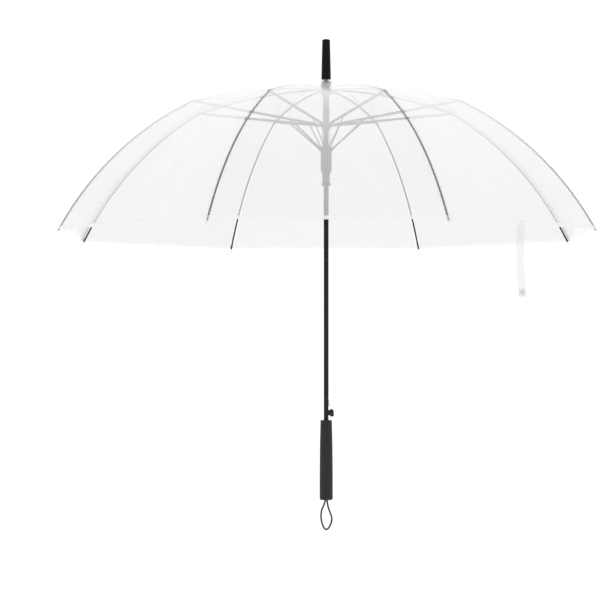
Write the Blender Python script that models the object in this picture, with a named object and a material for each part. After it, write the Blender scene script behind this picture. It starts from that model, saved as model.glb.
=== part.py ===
"""Clear dome umbrella with eight ribs, an automatic runner and a straight handle.

Metres, +Z up. The origin is on the shaft's axis, half way up the handle.
The canopy is open; every rib, stretcher and strut hangs from an empty on its own pivot.
"""
import bmesh
import bpy
import math
from mathutils import Matrix, Vector

# ---- driving dimensions ------------------------------------------------------------------
RIB_COUNT = 8
FIRST_RIB_ANGLE = math.radians(22.5)
RIB_SPACING = math.tau / RIB_COUNT
GRIP_HEIGHT = 0.069          # origin above the handle's bottom end
GAP = 0.0003                 # clearance between pieces that touch
CUT_PAST = 0.002             # a slot's cutter runs this far past the face it opens

SHAFT_RADIUS = 0.00425
SHAFT_BORE = 0.0034
BORE_RADIUS = SHAFT_RADIUS + GAP
SHAFT_FOOT, SHAFT_HEAD = 0.020, 0.734
WINDOW_FOOT, WINDOW_HEAD, WINDOW_WIDTH = 0.1425, 0.1785, 0.0034

HANDLE_HEAD = 0.138
HANDLE_FOOT_RADIUS, HANDLE_HEAD_RADIUS = 0.0114, 0.0100
LOOP_HOLE_RADIUS, LOOP_HOLE_DEPTH = 0.0032, 0.0030
FERRULE_FOOT, FERRULE_HEAD = 0.730, 0.800
FERRULE_FOOT_RADIUS, FERRULE_HEAD_RADIUS, FERRULE_FLAT_RADIUS = 0.0085, 0.00695, 0.0045

PIVOT_RADIUS = 0.008         # of the rib pivots in the notch and in the stretcher hub
NOTCH_PIVOT = 0.712          # heights above the handle's bottom end
HUB_PIVOT = 0.650
ELBOW_RADIUS = 0.244         # where arm, rod and stretcher meet
ELBOW_HEIGHT = (NOTCH_PIVOT + HUB_PIVOT) / 2
ARM_CAMBER = 0.0088
ROD_END_RADIUS, ROD_END_HEIGHT = 0.4783, 0.4570
ROD_HALF_TURN = 0.30         # half the angle that the bent rod turns through
RUNNER_PIVOT_RADIUS, RUNNER_PIVOT = 0.011, 0.6086
STRUT_JOINT_REACH = 0.062    # along the stretcher, from the hub's pivot
STRUT_OFFSET = 0.0027        # the struts lie beside the stretchers
HUB_FOOT = -0.0050           # underside of the stretcher hub, from its pivots
CUP_FLOOR = 0.0004           # floor of the runner's spring cup, from its pivots
SLOT_HEADROOM = 0.0004       # how far the hub's slots run up into its neck

EYE_THICKNESS = 0.0016
SLOT_WIDTH = 0.0024
ARM_WIDTH, ARM_DEPTH = 0.0032, 0.0026
ROD_RADIUS = 0.00135
STRETCHER_WIDTH, STRETCHER_DEPTH = 0.0032, 0.0040
FORK_REACH = 0.018           # length of the stretcher's cheeks past the elbow
CHEEK_THICKNESS = 0.0008
CAP_LENGTH, CAP_RADIUS = 0.0130, 0.0021
CAP_FLARE = 0.14             # the tip caps bend outwards from the rod's end
SHARP_ANGLE = math.radians(35)
TURNED_SIDES, SHAFT_SIDES = 32, 24

FILM_THICKNESS = 0.0004
ELBOW_SHARE = 0.45           # of the way from the crown to the rim
FILM_CLEARANCE = 0.0031      # film above the middle of the ribs
CROWN_RADIUS = 0.0052
CROWN_HEIGHT = 0.7222
SEAM_GAP = 0.0002            # from each gore's edge to the middle of the panel

STRAP_WIDTH, STRAP_LENGTH, STRAP_THICKNESS = 0.0127, 0.122, 0.0005
CORD_RADIUS = 0.0011

COLORS = {
    "black_plastic": ((0.012, 0.012, 0.013), 0.32, 0.0),
    "grip_rubber": ((0.032, 0.032, 0.033), 0.6, 0.0),
    "black_steel": ((0.02, 0.02, 0.022), 0.35, 0.8),
    "spring_steel": ((0.42, 0.42, 0.43), 0.3, 1.0),
    "clear_plastic": ((0.86, 0.87, 0.88), 0.2, 0.0),
    "clear_film": ((0.93, 0.94, 0.95), 0.12, 0.0),
    "black_cord": ((0.015, 0.015, 0.015), 0.8, 0.0),
}


def up(height):
    """Z of a height that is measured from the handle's bottom end."""
    return height - GRIP_HEIGHT


# ---- helpers -----------------------------------------------------------------------------
def clear_scene():
    for old in list(bpy.data.objects):
        bpy.data.objects.remove(old, do_unlink=True)


def material(name):
    found = bpy.data.materials.get(name)
    if found:
        return found
    color, roughness, metallic = COLORS[name]
    made = bpy.data.materials.new(name)
    made.use_nodes = True
    shader = made.node_tree.nodes["Principled BSDF"]
    shader.inputs["Base Color"].default_value = (*color, 1.0)
    shader.inputs["Roughness"].default_value = roughness
    shader.inputs["Metallic"].default_value = metallic
    if name.startswith("clear"):
        shader.inputs["Alpha"].default_value = 0.4
    return made


def add_object(name, form, finish, parent=None, smooth=True):
    """Link the bmesh as an object, closed and facing out, under its parent empty."""
    bmesh.ops.recalc_face_normals(form, faces=form.faces)
    mesh = bpy.data.meshes.new(name)
    form.to_mesh(mesh)
    form.free()
    mesh.materials.append(material(finish))
    if smooth:
        mesh.shade_smooth()
        mesh.set_sharp_from_angle(angle=SHARP_ANGLE)
    made = bpy.data.objects.new(name, mesh)
    bpy.context.collection.objects.link(made)
    made.parent = parent
    return made


def pivot_empty(name, angle, radius, height, parent=None):
    """An empty whose X points away from the shaft and whose Y lies along the hinge."""
    made = bpy.data.objects.new(name, None)
    made.empty_display_size = 0.01
    bpy.context.collection.objects.link(made)
    place = Matrix.Rotation(angle, 4, "Z") @ Matrix.Translation((radius, 0, up(height)))
    made.matrix_world = place
    if parent:
        bpy.context.view_layer.update()
        made.parent = parent
        made.matrix_parent_inverse = parent.matrix_world.inverted()
    return made


def turned(outline, sides):
    """Turn a closed (radius, height) outline round Z; a radius of 0 becomes one point."""
    form = bmesh.new()
    rings = []
    for radius, height in outline:
        if radius == 0:
            rings.append([form.verts.new((0, 0, height))] * sides)
            continue
        ring = []
        for side in range(sides):
            turn = math.tau * (side + 0.5) / sides
            x, y = radius * math.cos(turn), radius * math.sin(turn)
            ring.append(form.verts.new((x, y, height)))
        rings.append(ring)
    for lower, upper in zip(rings, rings[1:] + rings[:1]):
        for side in range(sides):
            after = (side + 1) % sides
            corners = [lower[side], lower[after], upper[after], upper[side]]
            kept = list(dict.fromkeys(corners))
            if len(kept) > 2:
                form.faces.new(kept)
    return form


def sweep(sections):
    """Skin a row of equal closed sections and cap both ends."""
    form = bmesh.new()
    rings = [[form.verts.new(point) for point in section] for section in sections]
    count = len(rings[0])
    for lower, upper in zip(rings, rings[1:]):
        for side in range(count):
            after = (side + 1) % count
            form.faces.new([lower[side], lower[after], upper[after], upper[side]])
    form.faces.new(rings[0])
    form.faces.new(rings[-1])
    return form


def plate(outline, middle, thickness):
    """Extrude an (x, z) outline along Y."""
    low, high = middle - thickness / 2, middle + thickness / 2
    return sweep([[Vector((x, y, z)) for x, z in outline] for y in (low, high)])


def box(size, centre):
    form = bmesh.new()
    place = Matrix.Translation(centre) @ Matrix.Diagonal((*size, 1))
    bmesh.ops.create_cube(form, size=1, matrix=place)
    return form


def join(forms):
    """Put several bmeshes into the first one."""
    first = forms[0]
    for other in forms[1:]:
        scratch = bpy.data.meshes.new("scratch")
        other.to_mesh(scratch)
        other.free()
        first.from_mesh(scratch)
        bpy.data.meshes.remove(scratch)
    return first


def boolean(target, form, operation):
    """Cut or add a bmesh with a guide object that stays out of the model."""
    bmesh.ops.recalc_face_normals(form, faces=form.faces)
    mesh = bpy.data.meshes.new(f"{target.name}_tool")
    form.to_mesh(mesh)
    form.free()
    tool = bpy.data.objects.new(f"{target.name}_tool", mesh)
    bpy.context.collection.objects.link(tool)
    tool.parent = target.parent
    tool.hide_render = True
    tool.display_type = "WIRE"
    step = target.modifiers.new(operation.title(), "BOOLEAN")
    step.operation = operation
    step.solver = "EXACT"
    step.object = tool
    return step


def slots(root_radius, low, high, offset=0.0):
    """Radial slots, one at each rib, open at the rim."""
    reach = 0.02
    size = (reach, SLOT_WIDTH, high - low)
    centre = (root_radius + reach / 2, offset, (low + high) / 2)
    cuts = []
    for rib in range(RIB_COUNT):
        cut = box(size, centre)
        turn = Matrix.Rotation(FIRST_RIB_ANGLE + rib * RIB_SPACING, 4, "Z")
        bmesh.ops.transform(cut, matrix=turn, verts=cut.verts)
        cuts.append(cut)
    return join(cuts)


# ---- shaft, handle and fixed fittings ------------------------------------------------------
def build_shaft():
    outline = [
        (SHAFT_RADIUS, up(SHAFT_FOOT)), (SHAFT_RADIUS, up(SHAFT_HEAD)),
        (SHAFT_BORE, up(SHAFT_HEAD)), (SHAFT_BORE, up(SHAFT_FOOT)),
    ]
    shaft = add_object("shaft", turned(outline, SHAFT_SIDES), "black_steel")
    size = (SHAFT_RADIUS, WINDOW_WIDTH, WINDOW_HEAD - WINDOW_FOOT)
    middle = up((WINDOW_FOOT + WINDOW_HEAD) / 2)
    boolean(shaft, box(size, (SHAFT_RADIUS, 0, middle)), "DIFFERENCE")


def build_handle():
    # each rounded edge is two facets, with its corner pulled in by a third of the rounding
    edge, corner = 0.0016, 0.0005
    outline = [
        (LOOP_HOLE_RADIUS, up(0)), (HANDLE_FOOT_RADIUS - edge, up(0)),
        (HANDLE_FOOT_RADIUS - corner, up(corner)), (HANDLE_FOOT_RADIUS, up(edge)),
        (HANDLE_HEAD_RADIUS, up(HANDLE_HEAD - edge)),
        (HANDLE_HEAD_RADIUS - corner, up(HANDLE_HEAD - corner)),
        (HANDLE_HEAD_RADIUS - edge, up(HANDLE_HEAD)), (BORE_RADIUS, up(HANDLE_HEAD)),
        (BORE_RADIUS, up(SHAFT_FOOT - GAP)), (0, up(SHAFT_FOOT - GAP)),
        (0, up(LOOP_HOLE_DEPTH)), (LOOP_HOLE_RADIUS, up(LOOP_HOLE_DEPTH)),
    ]
    add_object("handle_grip", turned(outline, TURNED_SIDES), "grip_rubber")


def build_ferrule():
    foot_edge, head_edge, corner = 0.0005, 0.002, 0.0007
    outline = [
        (BORE_RADIUS, up(FERRULE_FOOT)), (FERRULE_FOOT_RADIUS - foot_edge, up(FERRULE_FOOT)),
        (FERRULE_FOOT_RADIUS, up(FERRULE_FOOT + foot_edge)),
        (FERRULE_HEAD_RADIUS, up(FERRULE_HEAD - head_edge)),
        (FERRULE_HEAD_RADIUS - corner, up(FERRULE_HEAD - corner)),
        (FERRULE_FLAT_RADIUS, up(FERRULE_HEAD)), (0, up(FERRULE_HEAD)),
        (0, up(SHAFT_HEAD + GAP)), (BORE_RADIUS, up(SHAFT_HEAD + GAP)),
    ]
    add_object("ferrule", turned(outline, TURNED_SIDES), "black_plastic")


def build_notch():
    """The slotted ring that the eight ribs hang in."""
    low, high, rim, edge = up(0.7045), up(0.7192), 0.0098, 0.0014
    outline = [
        (BORE_RADIUS, low), (rim - edge, low), (rim, low + edge),
        (rim, high - edge), (rim - edge, high), (BORE_RADIUS, high),
    ]
    notch = add_object("top_notch", turned(outline, TURNED_SIDES), "black_plastic")
    root = 0.0057
    boolean(notch, slots(root, low - CUT_PAST, high + CUT_PAST), "DIFFERENCE")


def build_washer():
    """The ring that presses the film down on the notch."""
    low, high, rim, edge = up(0.7256), up(0.7296), 0.0095, 0.0009
    outline = [
        (BORE_RADIUS, low), (rim - edge, low), (rim, low + edge),
        (rim - edge, high), (BORE_RADIUS, high),
    ]
    add_object("canopy_washer", turned(outline, TURNED_SIDES), "clear_plastic")


# ---- sliding fittings ----------------------------------------------------------------------
def build_stretcher_hub(parent):
    flange_low, flange_high, rim, neck, edge = HUB_FOOT, 0.0045, 0.0090, 0.0057, 0.0009
    sleeve_top = 0.7032 - HUB_PIVOT
    outline = [
        (BORE_RADIUS, flange_low), (rim - edge, flange_low), (rim, flange_low + edge),
        (rim, flange_high - edge), (rim - edge, flange_high), (neck, flange_high),
        (neck, sleeve_top), (BORE_RADIUS, sleeve_top),
    ]
    hub = add_object("stretcher_hub", turned(outline, TURNED_SIDES), "black_plastic", parent)
    bpy.context.view_layer.update()
    root = 0.0058
    boolean(hub, slots(root, flange_low - CUT_PAST, flange_high + SLOT_HEADROOM), "DIFFERENCE")


def build_runner(parent):
    """Runner with a spring cup, strut slots and the window that the catch snaps into."""
    foot, rim, edge = 0.545 - RUNNER_PIVOT, 0.0127, 0.0008
    foot_rim, neck, body, cup = 0.0078, 0.0065, 0.0095, 0.0082
    flare_foot, flare_head = foot + 0.0210, foot + 0.0262
    ring_low, ring_high, cup_lip = -0.0032, 0.0022, 0.0044
    outline = [
        (BORE_RADIUS, foot), (foot_rim - edge, foot), (foot_rim, foot + edge),
        (foot_rim, foot + 0.0038), (neck, foot + 0.0052), (neck, flare_foot),
        (body, flare_head), (body, ring_low - edge), (rim - edge, ring_low),
        (rim, ring_low + edge), (rim, ring_high - edge), (rim - edge, ring_high),
        (body, ring_high), (body, cup_lip), (cup, cup_lip),
        (cup, CUP_FLOOR), (BORE_RADIUS, CUP_FLOOR),
    ]
    runner = add_object("runner", turned(outline, TURNED_SIDES), "black_plastic", parent)
    bpy.context.view_layer.update()
    root = 0.0088
    cuts = slots(root, ring_low - 0.0030, cup_lip + CUT_PAST, STRUT_OFFSET)
    boolean(runner, cuts, "DIFFERENCE")
    # window that the catch's tooth snaps into
    low, high = foot - CUT_PAST, flare_foot + GAP
    size = (0.0046, 0.0036, high - low)
    boolean(runner, box(size, (0.0042, 0, (low + high) / 2)), "DIFFERENCE")


def build_opening_spring(parent):
    """Coil between the runner's cup and the stretcher hub; parent is the hub's empty."""
    wire, coil, turns, steps, sides = 0.00065, 0.0067, 6, 12, 5
    high = HUB_FOOT - GAP - wire
    low = RUNNER_PIVOT - HUB_PIVOT + CUP_FLOOR + GAP + wire
    count = turns * steps
    sections = []
    for step in range(count + 1):
        turn = math.tau * step / steps
        outwards = Vector((math.cos(turn), math.sin(turn), 0))
        middle = outwards * coil
        middle.z = low + (high - low) * step / count
        section = []
        for side in range(sides):
            roll = math.tau * side / sides
            around = outwards * math.cos(roll) + Vector((0, 0, math.sin(roll)))
            section.append(middle + around * wire)
        sections.append(section)
    add_object("opening_spring", sweep(sections), "black_steel", parent)


def build_catch():
    """Catch tooth on its flat spring inside the shaft, and the push button on it."""
    seat = bpy.data.objects.new("catch_slide_axis", None)
    seat.location = (SHAFT_RADIUS, 0, up(0.150))
    bpy.context.collection.objects.link(seat)
    place = Matrix.Translation(-seat.location)

    # the leaf stands back far enough to clear the bore when the button is pressed
    back, front = -0.0007, 0.0003
    low, shelf, nose, ramp_top, top = 0.1450, 0.1620, 0.1632, 0.1750, 0.1758
    outline = [
        (back, up(low)), (front, up(low)), (front, up(shelf)), (0.0061, up(shelf)),
        (0.0062, up(nose)), (0.0050, up(ramp_top)), (front, up(top)), (back, up(top)),
    ]
    tooth = plate(outline, 0, 0.0022)
    bmesh.ops.transform(tooth, matrix=place, verts=tooth.verts)
    add_object("catch_spring", tooth, "spring_steel", seat, smooth=False)

    # a stem through the shaft's window, and a key that is widest at its foot
    inner, outer, face = front + GAP, 0.0052, 0.0134
    foot, head, stem_low, stem_high, edge = 0.1442, 0.1572, 0.1462, 0.1556, 0.0013
    outline = [
        (inner, up(stem_low)), (outer, up(stem_low)), (outer, up(foot + edge)),
        (outer + edge, up(foot)), (face - edge, up(foot)), (face, up(foot + edge)),
        (face - edge, up(head - 2 * edge)), (face - 3 * edge, up(head)),
        (outer + edge, up(head)), (outer, up(head - edge)), (outer, up(stem_high)),
        (inner, up(stem_high)),
    ]
    button = plate(outline, 0, 0.0026)
    bmesh.ops.transform(button, matrix=place, verts=button.verts)
    add_object("release_button", button, "black_plastic", seat, smooth=False)


# ---- ribs ----------------------------------------------------------------------------------
def arm_point(share):
    """Middle of the rib's inner arm in (radius, height), from the notch to the elbow."""
    radius = PIVOT_RADIUS + (ELBOW_RADIUS - PIVOT_RADIUS) * share
    height = NOTCH_PIVOT + (ELBOW_HEIGHT - NOTCH_PIVOT) * share
    return radius, height + ARM_CAMBER * 4 * share * (1 - share)


def rod_point(share):
    """Middle of the bent outer rod in (radius, height), from the elbow to its end."""
    run, fall = ROD_END_RADIUS - ELBOW_RADIUS, ELBOW_HEIGHT - ROD_END_HEIGHT
    bend = math.hypot(run, fall) / (2 * math.sin(ROD_HALF_TURN))
    start = math.atan2(fall, run) - ROD_HALF_TURN
    heading = start + 2 * ROD_HALF_TURN * share
    radius = ELBOW_RADIUS + bend * (math.sin(heading) - math.sin(start))
    return radius, ELBOW_HEIGHT + bend * (math.cos(heading) - math.cos(start))


def along(curve, share, origin):
    """A point on a rib curve, and the way it heads, in the pivot's own (x, z) plane."""
    step = 0.001
    x, z = curve(share)
    x_next, z_next = curve(share + step)
    way = Vector((x_next - x, 0, z_next - z)).normalized()
    return Vector((x - origin[0], 0, z - origin[1])), way


def bar_section(point, way, width, depth):
    """A rectangle across the way that a bar heads."""
    across = Vector((0, 1, 0))
    above = Vector((-way.z, 0, way.x))
    corners = []
    for side, lift in ((-1, -1), (1, -1), (1, 1), (-1, 1)):
        corners.append(point + across * (side * width / 2) + above * (lift * depth / 2))
    return corners


def bar(curve, origin, shares, sizes):
    sections = []
    for share, (width, depth) in zip(shares, sizes):
        point, way = along(curve, share, origin)
        sections.append(bar_section(point, way, width, depth))
    return sweep(sections)


def fork(form, at, reaches, inside, half):
    """Two cheeks and the web that joins them; returns the web's face as a loop of corners."""
    back, crotch, mouth = reaches
    outer = inside + CHEEK_THICKNESS
    plan = [
        (back, -outer), (back, -inside), (crotch, -inside), (crotch, inside),
        (back, inside), (back, outer), (mouth, outer), (mouth, -outer),
    ]
    low = [form.verts.new(at(reach, side, -half)) for reach, side in plan]
    high = [form.verts.new(at(reach, side, half)) for reach, side in plan]
    for first in (0, 1, 2, 3, 4, 5, 7):
        after = (first + 1) % 8
        form.faces.new([low[first], low[after], high[after], high[first]])
    for level in (low, high):
        form.faces.new([level[0], level[1], level[2], level[7]])
        form.faces.new([level[2], level[3], level[6], level[7]])
        form.faces.new([level[3], level[4], level[5], level[6]])
    return [low[7], low[6], high[6], high[7]]


def build_rib_arm(number, pivot):
    """Channel from the notch to the elbow, with a thin eye at each end."""
    origin = (PIVOT_RADIUS, NOTCH_PIVOT)
    length = ELBOW_RADIUS - PIVOT_RADIUS
    eye, neck, fade = 0.0017 / length, 0.0092 / length, 0.0112 / length
    end_fade, end_neck = 1 - 0.0052 / length, 1 - 0.0042 / length
    body = [fade, 0.2, 0.35, 0.5, 0.65, 0.8, end_fade]
    shares = [-eye, neck] + body + [end_neck, 1 + eye]
    thin, full = (EYE_THICKNESS, ARM_DEPTH), (ARM_WIDTH, ARM_DEPTH)
    sizes = [thin, thin] + [full] * len(body) + [thin, thin]
    form = bar(arm_point, origin, shares, sizes)
    add_object(f"rib_arm_{number}", form, "black_steel", pivot, smooth=False)


def build_rib_rod(number, pivot):
    """Bent rod with a forked socket that straddles the arm's eye at the elbow."""
    origin = (ELBOW_RADIUS, ELBOW_HEIGHT)
    inside, half = 0.0011, 0.0016
    point, way = along(rod_point, 0, origin)
    above = Vector((-way.z, 0, way.x))

    def at(reach, side, lift):
        return point + way * reach + Vector((0, side, 0)) + above * lift

    form = bmesh.new()
    back, crotch, mouth, end = -0.0017, 0.0030, 0.0060, 0.0150
    web = fork(form, at, (back, crotch, mouth), inside, half)
    # the socket narrows to the rod, and the rod follows its arc to the tip
    chord = math.hypot(ROD_END_RADIUS - ELBOW_RADIUS, ELBOW_HEIGHT - ROD_END_HEIGHT)
    length = chord * ROD_HALF_TURN / math.sin(ROD_HALF_TURN)
    sides, spans, first_span = 6, 9, 0.12
    stations = [end / length, (end + 0.0005) / length]
    stations += [first_span + (1 - first_span) * step / spans for step in range(spans + 1)]
    socket_radius = (inside + CHEEK_THICKNESS) * 0.92
    radii = [socket_radius] + [ROD_RADIUS] * (len(stations) - 1)
    rings = []
    for share, radius in zip(stations, radii):
        middle, heading = along(rod_point, share, origin)
        lift = Vector((-heading.z, 0, heading.x))
        section = []
        for side in range(sides):
            # the first corner lies beside the web's first corner, so the skin doesn't twist
            roll = math.tau * (side - 0.5) / sides - math.pi / 2
            around = Vector((0, math.cos(roll), 0)) + lift * math.sin(roll)
            section.append(form.verts.new(middle + around * radius))
        rings.append(section)
    web_edges = [form.edges.get((web[k], web[(k + 1) % 4])) for k in range(4)]
    near = rings[0]
    near_edges = [form.edges.new((near[k], near[(k + 1) % sides])) for k in range(sides)]
    bmesh.ops.bridge_loops(form, edges=web_edges + near_edges)
    for lower, upper in zip(rings, rings[1:]):
        for side in range(sides):
            after = (side + 1) % sides
            form.faces.new([lower[side], lower[after], upper[after], upper[side]])
    form.faces.new(rings[-1])
    add_object(f"rib_rod_{number}", form, "black_steel", pivot)


def build_tip_cap(number, pivot):
    """Small clear cap beyond the rod's end, which the film's corner is tied to."""
    origin = (ELBOW_RADIUS, ELBOW_HEIGHT)
    start, way = along(rod_point, 1, origin)
    way.rotate(Matrix.Rotation(-CAP_FLARE, 3, "Y"))
    lift = Vector((-way.z, 0, way.x))
    profile = [
        (0.0008, CAP_RADIUS * 0.76), (0.0016, CAP_RADIUS), (CAP_LENGTH * 0.62, CAP_RADIUS * 0.9),
        (CAP_LENGTH - 0.001, CAP_RADIUS * 0.67), (CAP_LENGTH, CAP_RADIUS * 0.33),
    ]
    sides = 8
    sections = []
    for reach, size in profile:
        section = []
        for side in range(sides):
            roll = math.tau * side / sides
            around = Vector((0, math.cos(roll), 0)) + lift * math.sin(roll)
            section.append(start + way * reach + around * size)
        sections.append(section)
    add_object(f"tip_cap_{number}", sweep(sections), "clear_plastic", pivot)


def stretcher_length():
    """The arm's chord and the stretcher are equally long, so the hub stays on the shaft."""
    return math.hypot(ELBOW_RADIUS - PIVOT_RADIUS, ELBOW_HEIGHT - HUB_PIVOT)


def stretcher_rise():
    """Slope of the open stretcher, from the hub up to the elbow."""
    return math.asin((ELBOW_HEIGHT - HUB_PIVOT) / stretcher_length())


def build_stretcher(number, pivot):
    """Channel from the elbow to the hub, forked at the elbow; its origin is the elbow."""
    reach, rise = stretcher_length(), stretcher_rise()
    inside, half = 0.0022, 0.0013
    inwards = Vector((-math.cos(rise), 0, -math.sin(rise)))
    above = Vector((-inwards.z, 0, inwards.x))

    def at(distance, side, lift):
        return inwards * distance + Vector((0, side, 0)) + above * lift

    form = bmesh.new()
    ring = fork(form, at, (-0.0014, FORK_REACH, FORK_REACH + 0.003), inside, half)
    eye_depth = 0.0028
    stations = [
        (FORK_REACH + 0.006, STRETCHER_WIDTH, STRETCHER_DEPTH),
        (reach - 0.013, STRETCHER_WIDTH, STRETCHER_DEPTH),
        (reach - 0.009, STRETCHER_WIDTH, 0.0030),
        (reach - 0.0046, EYE_THICKNESS, eye_depth),
        (reach + 0.0016, EYE_THICKNESS, eye_depth),
    ]
    corners = ((-0.5, -0.5), (0.5, -0.5), (0.5, 0.5), (-0.5, 0.5))
    for distance, width, depth in stations:
        section = [form.verts.new(at(distance, side * width, lift * depth)) for side, lift in corners]
        for side in range(4):
            after = (side + 1) % 4
            form.faces.new([ring[side], ring[after], section[after], section[side]])
        ring = section
    form.faces.new(ring)
    add_object(f"stretcher_{number}", form, "black_steel", pivot, smooth=False)


def build_strut(number, pivot):
    """Flat bar from the runner to the stretcher's side."""
    rise = stretcher_rise()
    joint_x = PIVOT_RADIUS + STRUT_JOINT_REACH * math.cos(rise) - RUNNER_PIVOT_RADIUS
    joint_z = HUB_PIVOT + STRUT_JOINT_REACH * math.sin(rise) - RUNNER_PIVOT
    reach = math.hypot(joint_x, joint_z)
    eye, depth = 0.0013 / reach, 0.0026

    def line(share):
        return joint_x * share, joint_z * share

    form = bar(line, (0, 0), [-eye, 1 + eye], [(EYE_THICKNESS, depth)] * 2)
    bmesh.ops.translate(form, vec=(0, STRUT_OFFSET, 0), verts=form.verts)
    add_object(f"strut_{number}", form, "black_steel", pivot, smooth=False)


# ---- canopy --------------------------------------------------------------------------------
def film_point(share):
    """The film over a rib in (radius, height): share 0 is the crown, 1 the rim."""
    if share <= ELBOW_SHARE:
        part = share / ELBOW_SHARE
        radius = CROWN_RADIUS + (ELBOW_RADIUS - CROWN_RADIUS) * part
        _, height = arm_point(part)
        # near the shaft the film rises over the notch
        crown_lift = CROWN_HEIGHT - NOTCH_PIVOT - FILM_CLEARANCE
        return radius, height + FILM_CLEARANCE + crown_lift * (1 - part) ** 6
    part = (share - ELBOW_SHARE) / (1 - ELBOW_SHARE)
    radius, height = rod_point(part)
    _, way = along(rod_point, part, (0, 0))
    return radius - way.z * FILM_CLEARANCE, height + way.x * FILM_CLEARANCE


def film_heading(share):
    """Unit vector down the film at a share, read on the same side of the elbow."""
    step = 0.002 if share < ELBOW_SHARE else -0.002
    radius, height = film_point(share)
    next_radius, next_height = film_point(share + step)
    way = Vector((next_radius - radius, 0, next_height - height)).normalized()
    return way if step > 0 else -way


def build_gore(number, angle, pivot):
    """One film shell over a rib, from the middle of one panel to the middle of the next."""
    rim_share = 0.995
    shares = [0, 0.03] + [ELBOW_SHARE * step / 5 for step in range(1, 6)]
    shares += [ELBOW_SHARE + (1 - ELBOW_SHARE) * step / 6 for step in range(1, 6)] + [rim_share]
    half = RIB_SPACING / 2
    to_pivot = pivot.matrix_world.inverted() @ Matrix.Rotation(angle, 4, "Z")
    form = bmesh.new()
    layers = []
    for lift in (FILM_THICKNESS / 2, -FILM_THICKNESS / 2):
        rows = []
        for share in shares:
            radius, height = film_point(share)
            way = film_heading(share)
            radius -= way.z * lift
            height += way.x * lift
            # straight from the rib to just short of the middle of each panel
            reach = radius * math.sin(half) - SEAM_GAP
            row = []
            for side in (-1, -0.5, 0, 0.5, 1):
                away = reach * abs(side)
                x = radius - away * math.sin(half)
                y = away * math.cos(half) * math.copysign(1, side)
                row.append(form.verts.new(to_pivot @ Vector((x, y, up(height)))))
            rows.append(row)
        layers.append(rows)
    top, base = layers
    columns = len(top[0])
    for rows in layers:
        for row, after in zip(rows, rows[1:]):
            for left in range(columns - 1):
                form.faces.new([row[left], row[left + 1], after[left + 1], after[left]])
    for row in range(len(top) - 1):
        for side in (0, columns - 1):
            form.faces.new([top[row][side], top[row + 1][side], base[row + 1][side], base[row][side]])
    for row in (0, len(top) - 1):
        for left in range(columns - 1):
            form.faces.new([top[row][left], top[row][left + 1], base[row][left + 1], base[row][left]])
    add_object(f"canopy_gore_{number}", form, "clear_film", pivot)


def build_strap(angle, pivot):
    """Tie strap that hangs from the hem in the middle of a panel."""
    hem_share, behind_film, drift, bow, steps = 0.97, 0.0012, 0.004, 0.004, 10
    radius, height = film_point(hem_share)
    radius = radius * math.cos(RIB_SPACING / 2) - behind_film
    to_pivot = pivot.matrix_world.inverted() @ Matrix.Rotation(angle, 4, "Z")
    half = STRAP_WIDTH / 2
    sections = []
    for step in range(steps + 1):
        share = step / steps
        middle = drift * share
        outer = radius - bow * math.sin(share * math.pi)
        inner = outer - STRAP_THICKNESS
        z = up(height) - STRAP_LENGTH * share
        left, right = middle - half, middle + half
        corners = [(outer, left), (outer, right), (inner, right), (inner, left)]
        sections.append([to_pivot @ Vector((x, y, z)) for x, y in corners])
    add_object("tie_strap", sweep(sections), "clear_film", pivot)


# ---- wrist loop ----------------------------------------------------------------------------
def loop_points():
    """Route of the loop's cord, from one end in the handle's hole round to the other."""
    route = [
        (-0.0013, 0.0022), (-0.0016, -0.0015), (-0.0040, -0.0085), (-0.0079, -0.0180),
        (-0.0090, -0.0280), (-0.0074, -0.0395), (-0.0038, -0.0480), (0.0000, -0.0510),
        (0.0044, -0.0480), (0.0082, -0.0405), (0.0097, -0.0320), (0.0080, -0.0250),
        (0.0042, -0.0150), (0.0020, -0.0070), (0.0014, -0.0015), (0.0013, 0.0022),
    ]
    sway, waves, steps = 0.0012, 60, 2
    points = [Vector((x, sway * math.sin(height * waves), up(height))) for x, height in route]
    before_first = points[0] * 2 - points[1]
    after_last = points[-1] * 2 - points[-2]
    row = [before_first] + points + [after_last]
    smooth = []
    for before, start, end, after in zip(row, row[1:], row[2:], row[3:]):
        # Catmull-Rom: the curve passes through the points, along its neighbours' chord
        leave, arrive = (end - before) / 2, (after - start) / 2
        for step in range(steps):
            t = step / steps
            rise = 3 * t ** 2 - 2 * t ** 3
            spot = start.lerp(end, rise)
            spot += leave * (t - 2 * t ** 2 + t ** 3)
            spot += arrive * (t ** 3 - t ** 2)
            smooth.append(spot)
    return smooth + [points[-1]]


def build_wrist_loop():
    curve = bpy.data.curves.new("wrist_loop", "CURVE")
    curve.dimensions = "3D"
    curve.bevel_depth = CORD_RADIUS
    curve.bevel_resolution = 2
    curve.use_fill_caps = True
    points = loop_points()
    spline = curve.splines.new("POLY")
    spline.points.add(len(points) - 1)
    for target, point in zip(spline.points, points):
        target.co = (*point, 1)
    curve.materials.append(material("black_cord"))
    made = bpy.data.objects.new("wrist_loop", curve)
    bpy.context.collection.objects.link(made)


# ---- assembly ------------------------------------------------------------------------------
def build_ribs():
    gore_pivots = {}
    for index in range(RIB_COUNT):
        number = index + 1
        angle = FIRST_RIB_ANGLE + index * RIB_SPACING
        notch = pivot_empty(f"notch_pivot_{number}", angle, PIVOT_RADIUS, NOTCH_PIVOT)
        rod_elbow = pivot_empty(f"rod_elbow_{number}", angle, ELBOW_RADIUS, ELBOW_HEIGHT, notch)
        stretcher_elbow = pivot_empty(f"stretcher_elbow_{number}", angle, ELBOW_RADIUS, ELBOW_HEIGHT, notch)
        bpy.context.view_layer.update()
        build_rib_arm(number, notch)
        build_rib_rod(number, rod_elbow)
        build_tip_cap(number, rod_elbow)
        build_stretcher(number, stretcher_elbow)
        build_gore(number, angle, rod_elbow)
        gore_pivots[number] = (angle, rod_elbow)
    return gore_pivots


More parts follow.
